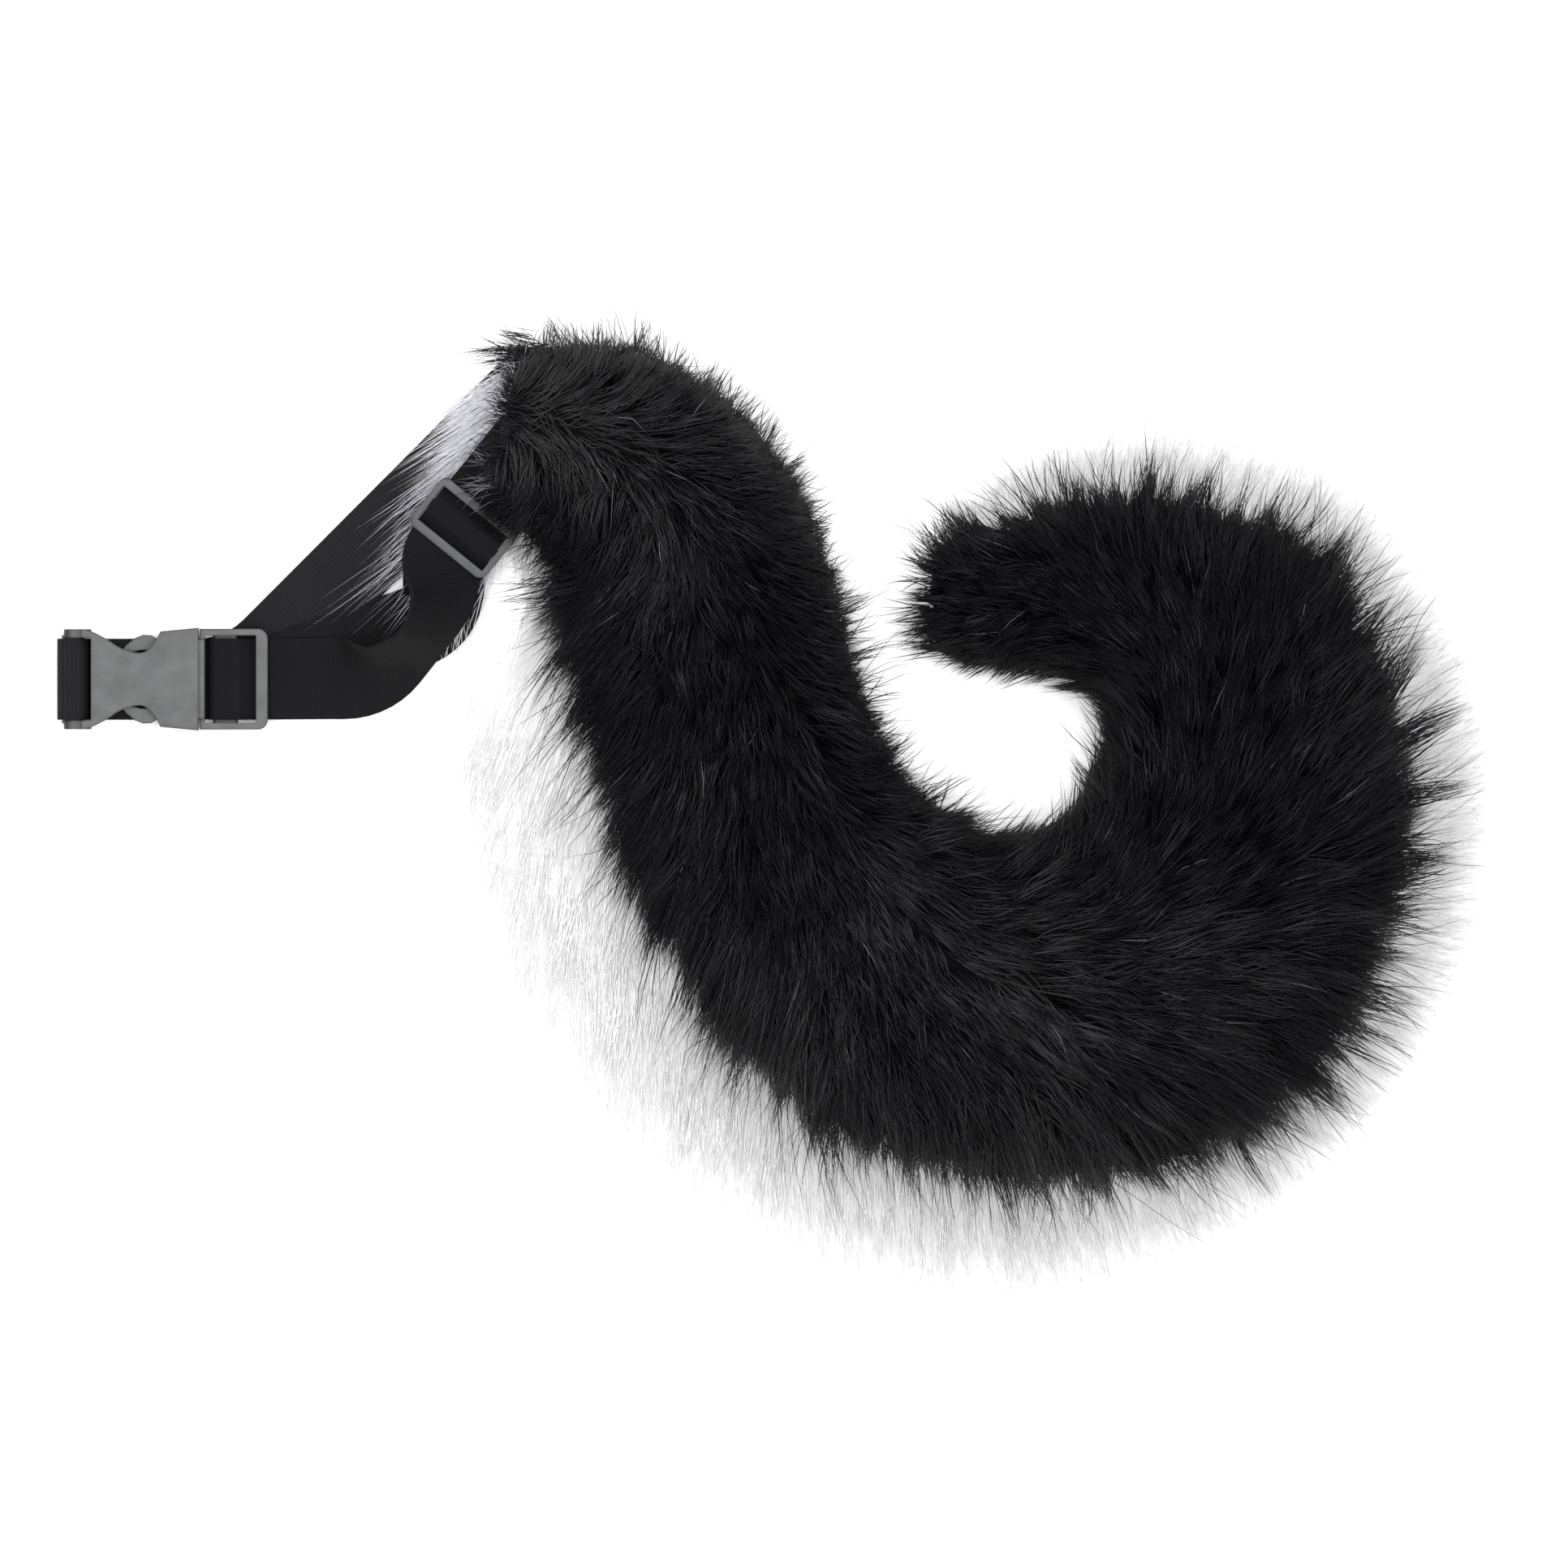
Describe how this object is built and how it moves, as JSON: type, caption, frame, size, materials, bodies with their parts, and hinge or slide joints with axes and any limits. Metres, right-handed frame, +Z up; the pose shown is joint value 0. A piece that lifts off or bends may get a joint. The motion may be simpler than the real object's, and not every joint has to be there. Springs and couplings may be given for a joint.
{
  "type": "costume animal tail with belt",
  "caption": "Long curled faux-fur costume tail, black above and white below, on a webbing waist belt with a side-release buckle and a slider, lying on a surface.",
  "frame": {"origin": "middle of the object's footprint, on the surface that it lies on", "axes": "+X from the buckle towards the curl of the tail, +Y from the curl's outer bend towards the tail's root, +Z up from the surface"},
  "size_m": [0.4456, 0.3028, 0.0769],
  "materials": {
    "fur_black": "matte",
    "fur_white": "matte",
    "webbing": "matte",
    "buckle_plastic": "satin",
    "slider_plastic": "satin"
  },
  "bodies": {
    "root": {"tail_fur_black": "fur_black", "tail_fur_white": "fur_white", "strap_adjustable": "webbing", "strap_fixed": "webbing", "buckle_socket": "buckle_plastic", "buckle_insert": "buckle_plastic", "slider": "slider_plastic"}
  },
  "joints": []
}
